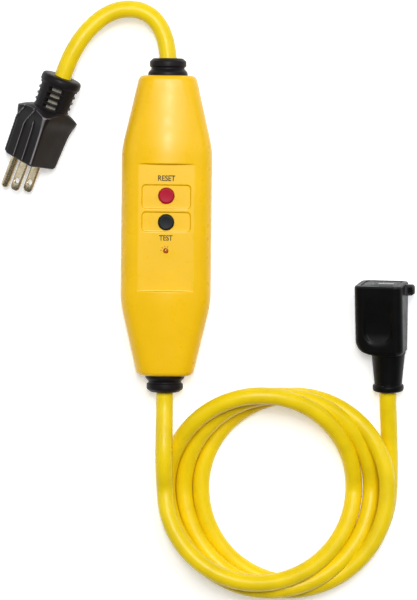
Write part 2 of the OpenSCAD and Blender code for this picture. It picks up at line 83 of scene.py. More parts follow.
def ramp(tree, value, stops):
    """Colours at positions along a value."""
    node = tree.nodes.new("ShaderNodeValToRGB")
    elements = node.color_ramp.elements
    while len(elements) < len(stops):
        elements.new(0.5)
    for element, (place, color) in zip(elements, stops):
        element.position = place
        element.color = (*color, 1)
    tree.links.new(value, node.inputs["Fac"])
    return node.outputs["Color"]


def spread(tree, value, low, high):
    """A value mapped from noise's usual 0.3 to 0.7 onto low to high."""
    node = tree.nodes.new("ShaderNodeMapRange")
    for socket, number in zip(("From Min", "From Max", "To Min", "To Max"), (0.3, 0.7, low, high)):
        node.inputs[socket].default_value = number
    tree.links.new(value, node.inputs["Value"])
    return node.outputs["Result"]


def bump(tree, shader_node, value, strength, distance, under=None):
    node = tree.nodes.new("ShaderNodeBump")
    node.inputs["Strength"].default_value = strength
    node.inputs["Distance"].default_value = distance
    tree.links.new(value, node.inputs["Height"])
    if under is not None:
        tree.links.new(under, node.inputs["Normal"])
    tree.links.new(node.outputs["Normal"], shader_node.inputs["Normal"])
    return node.outputs["Normal"]


def edge_highlight_mask(tree, gain):
    """Mask of the painted edge highlight: 0 on flat ground, up to 1 on sharp raised edges: a higher gain
    takes in blunter edges.
    """
    geometry = tree.nodes.new("ShaderNodeNewGeometry")
    node = tree.nodes.new("ShaderNodeMapRange")
    node.inputs["From Min"].default_value = 0.525
    node.inputs["From Max"].default_value = 0.525 + 0.5 / gain
    tree.links.new(geometry.outputs["Pointiness"], node.inputs["Value"])
    return node.outputs["Result"]


def scaled(color, factor):
    return tuple(min(1, c * factor) for c in color)


def plastic(name, color, roughness, grain=0.02, tone=0.06, grain_scale=3500, edge_highlight=None, **sockets):
    """Moulded plastic: cloudy tone, uneven gloss, a fine grain, and paler edges as a painted highlight if
    asked.
    """
    mat, tree, node = shader(name, color, roughness, **sockets)
    cloud = noise(tree, 45, 3)
    color_out = ramp(tree, cloud, [(0.3, scaled(color, 1 - tone)), (0.7, scaled(color, 1 + tone))])
    # Paler raised edges: a painted highlight on the edges.
    if edge_highlight:
        blend = tree.nodes.new("ShaderNodeMix")
        blend.data_type = "RGBA"
        blend.inputs["B"].default_value = (*edge_highlight, 1)
        tree.links.new(edge_highlight_mask(tree, 12), blend.inputs["Factor"])
        tree.links.new(color_out, blend.inputs["A"])
        color_out = blend.outputs["Result"]
    tree.links.new(color_out, node.inputs["Base Color"])
    patches = noise(tree, 160, 5)
    tree.links.new(spread(tree, patches, roughness - 0.05, roughness + 0.06), node.inputs["Roughness"])
    waves = bump(tree, node, noise(tree, 90, 2), 0.12, 0.0004)
    bump(tree, node, noise(tree, grain_scale, 2), grain, 0.0004, waves)
    return mat


def jacket(name, color, roughness):
    """Extruded vinyl: faint streaks along it, handling marks and a soft grain."""
    mat, tree, node = shader(name, color, roughness, Specular_IOR_Level=0.3)
    cloud = noise(tree, 70, 4)
    color_out = ramp(tree, cloud, [(0.25, scaled(color, 0.9)), (0.5, color), (0.75, scaled(color, 1.07))])
    tree.links.new(color_out, node.inputs["Base Color"])
    marks = noise(tree, 420, 6)
    tree.links.new(spread(tree, marks, roughness - 0.06, roughness + 0.1), node.inputs["Roughness"])
    swell = bump(tree, node, noise(tree, 140, 2), 0.2, 0.0005)
    bump(tree, node, noise(tree, 2600, 3), 0.1, 0.0002, swell)
    return mat


def metal(name, color, roughness, stretch=(1, 1, 12), tarnish=0.75):
    """Plated or rolled metal: drawn scratches and patches of tarnish."""
    mat, tree, node = shader(name, color, roughness, Metallic=1.0)
    patches = noise(tree, 260, 5)
    color_out = ramp(tree, patches, [(0.3, scaled(color, tarnish)), (0.65, color)])
    tree.links.new(color_out, node.inputs["Base Color"])
    scratches = noise(tree, 1500, 4, stretch)
    tree.links.new(spread(tree, scratches, roughness - 0.07, roughness + 0.12), node.inputs["Roughness"])
    bump(tree, node, scratches, 0.08, 0.0001)
    return mat


def winding(name, color, roughness, pitch):
    """Fine wire or tape wound in even turns."""
    mat, tree, node = shader(name, color, roughness)
    coords = tree.nodes.new("ShaderNodeTexCoord")
    turns = tree.nodes.new("ShaderNodeTexWave")
    turns.bands_direction = "Y"
    turns.inputs["Scale"].default_value = 0.31 / pitch
    turns.inputs["Distortion"].default_value = 0.6
    tree.links.new(coords.outputs["Object"], turns.inputs["Vector"])
    color_out = ramp(tree, turns.outputs["Fac"], [(0.2, scaled(color, 0.5)), (0.8, color)])
    tree.links.new(color_out, node.inputs["Base Color"])
    uneven = spread(tree, noise(tree, 500), roughness - 0.05, roughness + 0.1)
    tree.links.new(uneven, node.inputs["Roughness"])
    bump(tree, node, turns.outputs["Fac"], 0.5, 0.0002)
    return mat


def board_mask(name):
    """Green solder mask with copper traces showing faintly beneath it."""
    mat, tree, node = shader(name, (0.02, 0.2, 0.08), 0.35, Coat_Weight=0.3)
    coords = tree.nodes.new("ShaderNodeTexCoord")
    cells = tree.nodes.new("ShaderNodeTexVoronoi")
    cells.distance = "MANHATTAN"
    cells.inputs["Scale"].default_value = 220
    tree.links.new(coords.outputs["Object"], cells.inputs["Vector"])
    traces = ramp(tree, cells.outputs["Distance"], [(0.3, (0.04, 0.3, 0.11)), (0.45, (0.012, 0.15, 0.06))])
    tree.links.new(traces, node.inputs["Base Color"])
    bump(tree, node, cells.outputs["Distance"], 0.2, 0.0001)
    return mat


YELLOW = plastic(
    "yellow_housing", (0.89, 0.525, 0.004), 0.3, grain=0.02, tone=0.03, Specular_IOR_Level=0.3,
)
JACKET = jacket("yellow_jacket", (0.85, 0.62, 0.004), 0.33)
VINYL_COLOR = (0.0115, 0.0098, 0.0105)
VINYL = plastic(
    "black_vinyl", VINYL_COLOR, 0.4, grain=0.1, tone=0.2, grain_scale=2400, Specular_IOR_Level=0.12,
)
# Ribbed vinyl: its rib crests and shoulder edges are painted paler as a highlight.
RIBBED_VINYL = plastic(
    "ribbed_vinyl", VINYL_COLOR, 0.4, grain=0.1, tone=0.2, grain_scale=2400,
    edge_highlight=(0.27, 0.25, 0.27), Specular_IOR_Level=0.12,
)
# Connector vinyl: its edges are painted slightly paler as a highlight.
CONNECTOR_VINYL = plastic(
    "black_connector", (0.003, 0.003, 0.0031), 0.4, grain=0.1, tone=0.2, grain_scale=2400,
    edge_highlight=(0.04, 0.04, 0.04), Specular_IOR_Level=0.12,
)
# Pale grey lips round the connector's slots: a painted highlight.
LIP_HIGHLIGHT = plastic("slot_lip_highlight", (0.2, 0.2, 0.205), 0.3, grain=0.05, tone=0.1)
# Grey sleeve inside the plug neck that shows in its slots: its pale colour is partly a painted reflection.
SLEEVE_AND_SHEEN = plastic("grey_sleeve_and_sheen", (0.36, 0.33, 0.26), 0.3, grain=0.05, tone=0.15)
BLACK = plastic("black_plastic", (0.012, 0.0115, 0.012), 0.45, grain=0.1, tone=0.25, Specular_IOR_Level=0.2)
RED = plastic("red_button", (0.43, 0.004, 0.027), 0.34, grain=0.03, tone=0.05, Specular_IOR_Level=0.12)
DARK_BUTTON = plastic(
    "black_button", (0.012, 0.015, 0.017), 0.36, grain=0.03, tone=0.15, Specular_IOR_Level=0.12,
)
IVORY = plastic("ivory_plastic", (0.7, 0.66, 0.54), 0.5, grain=0.06)
SEAL = plastic("seal_rubber", (0.02, 0.02, 0.02), 0.7, grain=0.2, tone=0.2)
PRINT = plastic("printed_ink", (0.012, 0.008, 0.004), 0.6, grain=0.05, tone=0.2)
RAY = plastic("printed_orange", (0.62, 0.2, 0.012), 0.6, grain=0.05, tone=0.1)
LENS = plastic("indicator_orange", (0.6, 0.12, 0.012), 0.18, grain=0.01, tone=0.1, Transmission_Weight=0.25)
CAPACITOR = plastic("capacitor_blue", (0.04, 0.09, 0.4), 0.3)
VARISTOR = plastic("varistor_orange", (0.65, 0.2, 0.03), 0.35, grain=0.1)
RESISTOR = plastic("resistor_tan", (0.55, 0.4, 0.2), 0.4)
WIRE_BLACK = plastic("wire_black", (0.02, 0.02, 0.02), 0.45)
WIRE_GREEN = plastic("wire_green", (0.015, 0.22, 0.04), 0.45)
NICKEL = metal("nickel_brass", (0.6, 0.52, 0.36), 0.2)
STEEL = metal("spring_steel", (0.62, 0.62, 0.64), 0.28)
SCREW = metal("screw_steel", (0.6, 0.6, 0.6), 0.32)
BRASS = metal("contact_brass", (0.8, 0.58, 0.27), 0.28)
WIRE_COPPER = metal("wire_copper", (0.75, 0.35, 0.16), 0.3)
COPPER_TURNS = winding("coil_copper", (0.55, 0.2, 0.07), 0.35, 0.0006)
BLUE_TURNS = winding("coil_blue", (0.03, 0.08, 0.3), 0.5, 0.0012)
BOARD = board_mask("board_green")

# ---------------------------------------------------------------- camera

CAMERA_TILT = math.radians(4)
CAMERA_ROLL = math.radians(0.66)
CAMERA_AT = (0.0252, 0.0672, 1.6)
CAMERA_LENS = 161.9

camera_data = bpy.data.cameras.new("camera")
camera_data.lens = CAMERA_LENS
camera_data.sensor_width = 36
camera = bpy.data.objects.new("camera", camera_data)
camera.matrix_world = (
    Matrix.Translation(CAMERA_AT)
    @ Matrix.Rotation(-CAMERA_TILT, 4, "X")
    @ Matrix.Rotation(CAMERA_ROLL, 4, "Z")
)
bpy.context.scene.collection.objects.link(camera)
bpy.context.scene.camera = camera

# ---------------------------------------------------------------- cords

CORD_D = 10 * MM

# Free stretches, in millimetres, as the CAD has them
LINE_ROUTE = [
    (0, 94.8, 17.4), (0, 97.8, 17.4), (-0.7, 103, 17.2), (-2, 109, 16.8), (-5, 116, 16.4),
    (-10, 121.9, 16.2), (-16.5, 125.3, 16.4), (-24, 126.2, 17), (-31.5, 124.7, 18),
    (-38.5, 121, 19.2), (-45, 115.3, 20.3), (-50.8, 108.3, 21.2), (-55.4, 100.6, 21.6),
    (-58.6, 93.6, 21.4), (-61.3, 86.2, 21), (-62.4, 83.3, 20.6),
]
LEAD_ROUTE = [
    (0, -94.8, 17.4), (0, -97.8, 17.4), (0, -107, 18), (0, -116, 20.5), (0, -125, 23.4),
    (0, -134, 24.8), (0.3, -145, 24.2),
]
TAIL_ROUTE = [
    (134, -140, 5.3), (133.6, -129, 6), (133.1, -119, 7.8), (132.5, -110, 10), (132, -103, 12.1),
    (132, -96.4, 13), (132, -93.4, 13.2),
]
# Half turns of the coil: where each starts and ends across, how far up or down it
# reaches, and its height above the floor at its start, its crossing and its end
COIL_LEVEL = -155.5
HALF_TURNS = [
    (1, 113, -208.5, 22, 33.6, 5.2),
    (113, 2, -98.3, 5.2, 30, 5.2),
    (2, 123.4, -214, 5.2, 25, 5.2),
    (123.4, 12, -99.3, 5.2, 20, 5.2),
    (12, 132.4, -215.5, 5.2, 15.5, 15.2),
    (132.4, 22, -100.3, 15.2, 8.9, 5.2),
    (22, 134, -213, 5.2, 5.2, 5.2),
]
TURN_STEPS = 14
HUMP_POWER = 1.25


def half_turn(x0, x1, reach, z0, z_mid, z1):
    """Points of half an oval turn, from its start up to but not at its end."""
    for step in range(TURN_STEPS):
        angle = math.pi * step / TURN_STEPS
        share = (1 - math.cos(angle)) / 2
        hump = math.sin(angle) ** HUMP_POWER
        x = (x0 + x1) / 2 + (x0 - x1) / 2 * math.cos(angle)
        y = COIL_LEVEL + (reach - COIL_LEVEL) * math.sin(angle)
        yield (x, y, z0 + (z1 - z0) * share + (z_mid - (z0 + z1) / 2) * hump)


def load_route():
    points = list(LEAD_ROUTE)
    for turn in HALF_TURNS:
        points.extend(half_turn(*turn))
    last = HALF_TURNS[-1]
    points.append((last[1], COIL_LEVEL, last[5]))
    return points + TAIL_ROUTE


def smooth_path(points, per_span=6):
    """A dense path through points, on cubic curves between them."""
    pts = [Vector(p) for p in points]
    pts = [2 * pts[0] - pts[1], *pts, 2 * pts[-1] - pts[-2]]
    path = []
    for i in range(1, len(pts) - 2):
        a, b, c, d = pts[i - 1:i + 3]
        for step in range(per_span):
            t = step / per_span
            path.append(0.5 * (2 * b + (c - a) * t + (2 * a - 5 * b + 4 * c - d) * t * t
                               + (3 * b - a - 3 * c + d) * t ** 3))
    path.append(pts[-2])
    return path


def path_length(path):
    return sum((b - a).length for a, b in zip(path, path[1:]))


def cord_piece(name, route, diameter, material, body=ROOT):
    """A round cord along a route in millimetres. Returns the piece and its length in metres."""
    path = [p * MM for p in smooth_path(route)]
    data = bpy.data.curves.new(name, "CURVE")
    data.dimensions = "3D"
    data.bevel_depth = diameter / 2
    data.bevel_resolution = 7
    data.use_fill_caps = True
    spline = data.splines.new("POLY")
    spline.points.add(len(path) - 1)
    for point, place in zip(spline.points, path):
        point.co = (*place, 1)
    spline.use_smooth = True
    data.materials.append(material)
    piece = bpy.data.objects.new(name, data)
    bpy.context.scene.collection.objects.link(piece)
    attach(piece, body)
    return piece, path_length(path)


line_cord, line_length = cord_piece("line_flex", LINE_ROUTE, CORD_D, JACKET)
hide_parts("line_cord")
load_cord, load_length = cord_piece("load_flex", load_route(), CORD_D, JACKET)
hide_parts("load_cord_lead", "load_cord_coil", "load_cord_tail")

# ---------------------------------------------------------------- mesh helpers


def mesh_piece(name, verts, faces, material, slot, body=ROOT, place=Matrix(), sharp=35):
    """A piece from points in millimetres, put at place, with its sharp edges kept sharp."""
    data = bpy.data.meshes.new(name)
    data.from_pydata([place @ Vector(v) * MM for v in verts], [], faces)
    bm = bmesh.new()
    bm.from_mesh(data)
    bmesh.ops.remove_doubles(bm, verts=bm.verts, dist=1e-6)
    bmesh.ops.recalc_face_normals(bm, faces=bm.faces)
    bm.to_mesh(data)
    bm.free()
    data.polygons.foreach_set("use_smooth", [True] * len(data.polygons))
    data.set_sharp_from_angle(angle=math.radians(sharp))
    data.materials.append(material)
    piece = bpy.data.objects.new(name, data)
    bpy.context.scene.collection.objects.link(piece)
    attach(piece, body)
    return piece


def fillet(points, radii, steps=5, closed=False):
    """An outline through 2D points, each corner rounded to its own radius."""
    n = len(points)
    result = []
    for i, (point, radius) in enumerate(zip(points, radii)):
        b = Vector(point)
        if radius == 0 or (not closed and i in (0, n - 1)):
            result.append(b)
            continue
        u = (Vector(points[i - 1]) - b).normalized()
        v = (Vector(points[(i + 1) % n]) - b).normalized()
        half = u.angle(v) / 2
        centre = b + (u + v).normalized() * radius / math.sin(half)
        start = b + u * radius / math.tan(half) - centre
        end = b + v * radius / math.tan(half) - centre
        turn = start.angle_signed(end)
        for k in range(steps + 1):
            result.append(centre + Matrix.Rotation(-turn * k / steps, 2) @ start)
    return result


def grid_faces(rows, cols, wrap_rows=False, wrap_cols=True):
    faces = []
    for i in range(rows if wrap_rows else rows - 1):
        for k in range(cols if wrap_cols else cols - 1):
            a, b = i * cols + k, i * cols + (k + 1) % cols
            c, d = (i + 1) % rows * cols + (k + 1) % cols, (i + 1) % rows * cols + k
            faces.append((a, b, c, d))
    return faces


def loft(name, rings, material, slot, caps=(True, True), **kwargs):
    """A skin through rings of equally many points, closed at its ends where caps says."""
    cols = len(rings[0])
    verts = [p for ring in rings for p in ring]
    faces = grid_faces(len(rings), cols)
    if caps[0]:
        faces.append(tuple(range(cols)))
    if caps[1]:
        faces.append(tuple(range(len(verts) - cols, len(verts))))
    return mesh_piece(name, verts, faces, material, slot, **kwargs)


def lathe(name, outline, material, slot, steps=96, **kwargs):
    """A turned shape about its local X axis, from (distance along, radius) points."""
    rings = []
    for along, radius in outline:
        rings.append([
            (along, max(radius, 1e-4) * math.cos(2 * math.pi * k / steps),
             max(radius, 1e-4) * math.sin(2 * math.pi * k / steps))
            for k in range(steps)
        ])
    return loft(name, rings, material, slot, caps=(True, True), **kwargs)


def smoothstep(low, high, value):
    t = min(1, max(0, (value - low) / (high - low)))
    return t * t * (3 - 2 * t)


def cut_away(piece, cutter, keep_finish=False):
    """Takes cutter out of piece, its own material left on the cut if asked, and removes it."""
    modifier = piece.modifiers.new("cut", "BOOLEAN")
    modifier.object = cutter
    modifier.operation = "DIFFERENCE"
    modifier.solver = "EXACT"
    if keep_finish:
        modifier.material_mode = "TRANSFER"
    bpy.context.view_layer.update()
    graph = bpy.context.evaluated_depsgraph_get()
    result = bpy.data.meshes.new_from_object(piece.evaluated_get(graph))
    piece.modifiers.remove(modifier)
    material = piece.data.materials[0]
    piece.data = result
    if not keep_finish:
        result.materials.clear()
        result.materials.append(material)
        for polygon in result.polygons:
            polygon.material_index = 0
    bpy.data.objects.remove(cutter)


# ---------------------------------------------------------------- housing shells

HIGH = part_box("front_cover")[1] / MM
HALF_W, END_Y, TOP_Z = HIGH.x, HIGH.y, HIGH.z
SEAM_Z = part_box("front_cover")[0].z / MM
MIDDLE_Y = 45
END_W, END_TOP, END_LOW = 16.5, SEAM_Z + 14, SEAM_Z - 14
CROWN_R = 55.7
FRONT_CORNER, BACK_CORNER = 11, 6.5
END_ROUND = 2.6
WALL = 3
# Half-round opening at each end, that the strain relief passes through
ENTRY_R = 8
PANEL = (-16.5, 16.5, -37.8, 36.4)
PANEL_Z = TOP_Z - 2.5
WELL_DEPTH = 1
RESET_Y, TEST_Y, LED_Y = 17.9, 2.5, -14.1
WELLS = [(-14.1, 14.1, 10.4, 24.2), (-14.1, 14.1, -3, 8.4)]
WELL_CORNER = 2.2
PAD_Z = 29.3


def taper(y):
    """How far y is past the start of the taper, the change softened."""
    past, soft = abs(y) - MIDDLE_Y, 6
    return 0 if past < -soft else past if past > soft else (past + soft) ** 2 / (4 * soft)


def front_section(y, inset, seam_inset=0.0):
    """Right half of the front shell's section at y, from the seam up to the middle, in X and Z."""
    slope = taper(y) / (END_Y - MIDDLE_Y)
    half = HALF_W + (END_W - HALF_W) * slope - inset
    top = TOP_Z + (END_TOP - TOP_Z) * slope - inset
    crown, corner = CROWN_R - inset, max(1.5, FRONT_CORNER - inset)
    across = half - corner
    centre_z = top - crown + math.sqrt((crown - corner) ** 2 - across ** 2)
    lean = math.atan2(across, centre_z - top + crown)
    points = [(half - seam_inset, SEAM_Z)]
    side = max(centre_z, SEAM_Z + 0.8)
    points += [(half, SEAM_Z + seam_inset + (side - SEAM_Z - seam_inset) * k / 4) for k in range(4)]
    for k in range(9):
        angle = (math.pi / 2 - lean) * k / 9
        points.append((across + corner * math.cos(angle), max(side, centre_z) + corner * math.sin(angle)))
    reach = crown * math.sin(lean)
    for share in CROWN_SHARES:
        x = reach * share
        points.append((x, top - crown + math.sqrt(crown ** 2 - x ** 2)))
    return points


def back_section(y, inset, seam_inset=0.0):
    """Right half of the back shell's section at y, from the seam down to the middle."""
    slope = taper(y) / (END_Y - MIDDLE_Y)
    half = HALF_W + (END_W - HALF_W) * slope - inset
    low = END_LOW * slope + inset
    corner = max(1.5, BACK_CORNER - inset)
    points = [(half - seam_inset, SEAM_Z)]
    points += [(half, SEAM_Z - seam_inset + (low + corner - SEAM_Z + seam_inset) * k / 4) for k in range(4)]
    for k in range(9):
        angle = math.pi / 2 * k / 8
        points.append((half - corner + corner * math.cos(angle), low + corner - corner * math.sin(angle)))
    points += [((half - corner) * (1 - k / 8), low) for k in range(1, 9)]
    return points


# Places of the crown's points as shares of its half-width: fine where the panel's
# and the wells' side walls run
MIDDLE_REACH = 19.19
CROWN_SHARES = [1 - k / 4 * (1 - 17.5 / MIDDLE_REACH) for k in range(4)]
CROWN_SHARES += [(17.5 - 0.25 * k) / MIDDLE_REACH for k in range(24)]
CROWN_SHARES += [(11.5 - 11.5 * k / 12) / MIDDLE_REACH for k in range(13)]


def rounded_box_distance(x, y, box, corner):
    """Distance from (x, y) to the edge of a rounded box, negative inside it."""
    x0, x1, y0, y1 = box
    dx = abs(x - (x0 + x1) / 2) - (x1 - x0) / 2 + corner
    dy = abs(y - (y0 + y1) / 2) - (y1 - y0) / 2 + corner
    return math.hypot(max(dx, 0), max(dy, 0)) + min(max(dx, dy), 0) - corner


def front_relief(x, y, z):
    """The crown's height with the flat panel and the button wells cut into it."""
    over = z - PANEL_Z
    over = (over + math.sqrt(over * over + 0.02)) / 2 if over > -1 else 0
    inside = smoothstep(-0.35, 0.35, y - PANEL[2]) * smoothstep(-0.35, 0.35, PANEL[3] - y)
    z -= over * inside
    for well in WELLS:
        z -= WELL_DEPTH * smoothstep(-0.35, 0.35, -rounded_box_distance(x, y, well, WELL_CORNER))
    return z


def inner_relief(x, y, z):
    """The crown's inside, thickened under the panel."""
    inside = smoothstep(-0.6, 0.6, y - PANEL[2] + WALL) * smoothstep(-0.6, 0.6, PANEL[3] + WALL - y)
    return z - max(0, z - PAD_Z) * inside * smoothstep(-0.6, 0.6, 18 - abs(x))


def stations():
    """Places along the housing: fine where the panel and the wells start and end."""
    places = {round(-81 + 2 * k, 2) for k in range(82)}
    for edge in (PANEL[2], PANEL[3], *(e for well in WELLS for e in well[2:])):
        places |= {round(edge + 0.25 * k, 2) for k in range(-9, 10)}
    ordered = sorted(places)
    kept = [ordered[0]]
    for place in ordered[1:]:
        if place - kept[-1] > 0.2:
            kept.append(place)
    return kept


def rounding(sign):
    """Rounded end of the housing: (place along, inset) pairs, from the end face inwards."""
    return [
        (sign * (END_Y - END_ROUND + END_ROUND * math.cos(math.pi / 2 * k / 6)),
         END_ROUND * (1 - math.sin(math.pi / 2 * k / 6)))
        for k in range(7)
    ]


def mirrored(section):
    """A whole section from its right half."""
    return section + [(-x, z) for x, z in reversed(section[:-1])]


def housing_shell(name, section, relief, inner, node, up):
    """One cover as a closed shell: outside, inside, end walls and rim."""
    plan = rounding(1) + [(y, 0) for y in reversed(stations())] + list(reversed(rounding(-1)))
    outer = []
    for y, inset in plan:
        points = mirrored(section(y, inset, 0.35))
        outer.append([(x, y, relief(x, y, z)) for x, z in points])
    inside = []
    for y, inset in plan:
        y_in = max(-END_Y + WALL, min(END_Y - WALL, y))
        points = mirrored(section(y_in, max(WALL, inset)))
        inside.append([(x, y_in, inner(x, y_in, z)) for x, z in points])
    cols = len(outer[0])

    def entry(y):
        return [
            (ENTRY_R * math.cos(math.pi * k / (cols - 1)), y,
             SEAM_Z + up * ENTRY_R * math.sin(math.pi * k / (cols - 1)))
            for k in range(cols)
        ]

    rings = [entry(END_Y), *outer, entry(-END_Y)]
    rings += [entry(-END_Y + WALL), *reversed(inside), entry(END_Y - WALL)]
    verts = [p for ring in rings for p in ring]
    faces = grid_faces(len(rings), cols, wrap_rows=True, wrap_cols=False)
    rows = len(outer)
    total = len(rings)
    for side in (0, cols - 1):
        for i in range(rows + 1):
            mate = total - 1 - i
            faces.append(tuple(r * cols + side for r in (i, i + 1, mate - 1, mate)))
    piece = mesh_piece(name, verts, faces, YELLOW, "yellow_housing", sharp=50)
    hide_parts(node)
    return piece


def keep(x, y, z):
    """Leaves a shell's height as it is."""
    return z


front_shell = housing_shell("front_shell", front_section, front_relief, inner_relief, "front_cover", 1)
housing_shell("back_shell", back_section, keep, keep, "rear_cover", -1)


def upright(x, y, z):
    """A frame whose local X axis points up, for turned shapes that stand on the panel."""
    return Matrix.Translation((x, y, z)) @ Matrix.Rotation(-math.pi / 2, 4, "Y")


WELL_Z = PANEL_Z - WELL_DEPTH
BUTTON_R = 4.5
BUTTON_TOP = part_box("reset_button")[1].z / MM
for hole_name, hole_y, radius, rim_z in (
    ("reset_hole", RESET_Y, BUTTON_R + 0.2, WELL_Z), ("test_hole", TEST_Y, BUTTON_R + 0.2, WELL_Z),
    ("lens_hole", LED_Y, 1.45, PANEL_Z),
):
    cutter = lathe(
        hole_name, [(-8, 0), (-8, radius), (-0.2, radius), (0.1, radius + 0.25), (4, radius + 0.25), (4, 0)],
        YELLOW, "yellow_housing", place=upright(0, hole_y, rim_z),
    )
    cut_away(front_shell, cutter)
    front_shell.data.set_sharp_from_angle(angle=math.radians(40))

# ---------------------------------------------------------------- buttons, lens and lettering


def push_button(name, y, node, body, material, slot):
    """A round cap with a rolled edge and a shallow dish, on its flange and stem."""
    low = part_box(node)[0].z / MM
    outline = [(low, 0), (low, 1.6), (27.6, 1.6), (27.6, 5.7), (29.1, 5.7), (29.1, BUTTON_R)]
    outline += [
        (BUTTON_TOP - 0.7 + 0.7 * math.sin(a), BUTTON_R - 0.7 + 0.7 * math.cos(a))
        for a in (math.pi / 2 * k / 6 for k in range(7))
    ]
    outline += [(BUTTON_TOP - 0.12 * (1 - (r / 3.5) ** 2), r) for r in (3.5, 2.8, 2, 1.2, 0.5, 0)]
    piece = lathe(name, outline, material, slot, body=body, place=upright(0, y, 0), sharp=40)
    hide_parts(node)
    return piece


push_button("reset_cap", RESET_Y, "reset_button", "reset", RED, "red_button")
push_button("test_cap", TEST_Y, "test_button", "test", DARK_BUTTON, "black_button")


def return_spring(name, node):
    """Coil spring under a button's flange."""
    low, high = (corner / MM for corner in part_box(node))
    middle = (low + high) / 2
    wire, per_turn, turns = 0.3, 24, 3
    radius = (high.x - low.x) / 2 - wire
    rings = []
    for k in range(per_turn * turns + 1):
        angle = 2 * math.pi * k / per_turn
        height = low.z + wire + (high.z - low.z - 2 * wire) * k / (per_turn * turns)
        ring = []
        for j in range(10):
            around = 2 * math.pi * j / 10
            reach = radius + wire * math.cos(around)
            ring.append((middle.x + reach * math.cos(angle), middle.y + reach * math.sin(angle),
                         height + wire * math.sin(around)))
        rings.append(ring)
    piece = loft(name, rings, STEEL, "spring_steel")
    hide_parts(node)
    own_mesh(piece)
    return piece


return_spring("reset_coil", "reset_spring")
return_spring("test_coil", "test_spring")

lens_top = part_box("indicator_lens")[1].z / MM
lens = lathe(
    "indicator_window",
    [(24.6, 0), (24.6, 1.3), (28.2, 1.3), (28.2, 2.2), (29.3, 2.2), (29.3, 1.3), (PANEL_Z, 1.3)]
    + [(PANEL_Z + (lens_top - PANEL_Z) * math.sin(a), 1.3 * math.cos(a))
       for a in (math.pi / 2 * k / 6 for k in range(1, 7))],
    LENS, "indicator_orange", steps=48, place=upright(0, LED_Y, 0),
)
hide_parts("indicator_lens")


def lettering(name, text, y, width, height):
    """Plain function word, printed on the panel."""
    data = bpy.data.curves.new(name, "FONT")
    data.body = text
    data.align_x = "CENTER"
    data.align_y = "CENTER"
    data.extrude = 0.02 * MM
    data.offset = 0.02
    data.materials.append(PRINT)
    piece = bpy.data.objects.new(name, data)
    bpy.context.scene.collection.objects.link(piece)
    bpy.context.view_layer.update()
    size = piece.dimensions
    piece.scale = (width * MM / size.x, height * MM / size.y, 1)
    piece.location = (0, y * MM, (PANEL_Z + 0.03) * MM)
    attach(piece, ROOT)
    return piece


lettering("reset_word", "RESET", 28, 10, 3.3)
lettering("test_word", "TEST", -6.7, 7.8, 3.2)

# Small printed rays round the lens, on its upper side
for ray_index, degrees in enumerate((-84, -48, -12, 24)):
    turn = Matrix.Translation((0, LED_Y, PANEL_Z + 0.01)) @ Matrix.Rotation(math.radians(-degrees), 4, "Z")
    slices = [[(-0.22, 2.1, z), (0.22, 2.1, z), (0.3, 3.2, z), (-0.3, 3.2, z)] for z in (0, 0.04)]
    loft(f"ray_{ray_index}", slices, RAY, "indicator_orange", place=turn)

# ---------------------------------------------------------------- strain reliefs

GLAND_OUTLINE = fillet(
    [(-12, 5.2), (-12, 6.6), (-7.5, 8), (-6.8, 9.5), (-3, 9.5), (-3, 7.9), (0.05, 7.9), (0.05, 11.75),
     (1.9, 11.4), (3.7, 9.7), (4.6, 9.7), (5.3, 10.75), (8.2, 10.75), (10, 8.6), (10, 5.2)],
    [0, 0, 0, 0.4, 0.4, 0, 0, 0.3, 1.2, 0.4, 0.4, 0.5, 1.4, 0.6, 0],
)


def along_y(sign):
    """A frame on the housing's axis whose local X axis points out of an end face."""
    return Matrix.Translation((0, sign * END_Y, SEAM_Z)) @ Matrix.Rotation(sign * math.pi / 2, 4, "Z")


for gland_name, sign, node in (
    ("line_strain_relief", 1, "line_gland"), ("load_strain_relief", -1, "load_gland"),
):
    piece = lathe(gland_name, GLAND_OUTLINE, VINYL, "black_vinyl", place=along_y(sign), sharp=40)
    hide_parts(node)

# ---------------------------------------------------------------- plug

def lying(place, heading, tilt, roll):
    """A frame whose local X axis runs along a lying part: turned to heading, tipped, then rolled."""
    return (
        Matrix.Translation(place)
        @ Matrix.Rotation(math.radians(heading), 4, "Z")
        @ Matrix.Rotation(math.radians(tilt), 4, "Y")
        @ Matrix.Rotation(math.radians(roll), 4, "X")
    )


PLUG_ROLL = 32
PLUG = lying((-61.3, 86.2, 21), -110.4, 7, PLUG_ROLL)
PLUG_L = 54
PLUG_NECK = 20
BLADE_GAP, GROUND_OFFSET = 12.7, 11.9
SLOT_ROWS = [7.6, 11.2, 14.8, 18.3]
SLOT_HALF_LONG, SLOT_HALF_WIDE, SLOT_FLOOR = 1.15, 4.6, 6.8


def plug_neck():
    """Collar and flexing neck, with rows of slots round it."""
    steps = 192
    profile = [(0, 5.3), (0, 10.2), (0.25, 10.9), (0.7, 11.45), (1.4, 11.8), (2.4, 11.9), (4.2, 11.9),
               (4.8, 11.7), (5.2, 11.3)]
    s = 5.4
    while s < PLUG_NECK + 0.4:
        profile.append((s, 11.25 - 0.6 * (s - 5) / 16))
        s += 0.22
    profile.append((PLUG_NECK + 0.6, 10.5))
    rings = []
    for s, radius in profile:
        ring = []
        for k in range(steps):
            angle = 2 * math.pi * k / steps
            side = (angle + math.radians(PLUG_ROLL) + math.pi / 4) % (math.pi / 2) - math.pi / 4
            along = min(abs(s - row) for row in SLOT_ROWS)
            open_here = smoothstep(-0.2, 0.2, SLOT_HALF_LONG - along) \
                * smoothstep(-0.25, 0.25, SLOT_HALF_WIDE - abs(side) * radius)
            r = radius - (radius - SLOT_FLOOR) * (open_here if s > 5.3 else 0)
            ring.append((s, r * math.cos(angle), r * math.sin(angle)))
        rings.append(ring)
    return loft("plug_neck", rings, VINYL, "black_vinyl", caps=(False, True), place=PLUG, sharp=40)


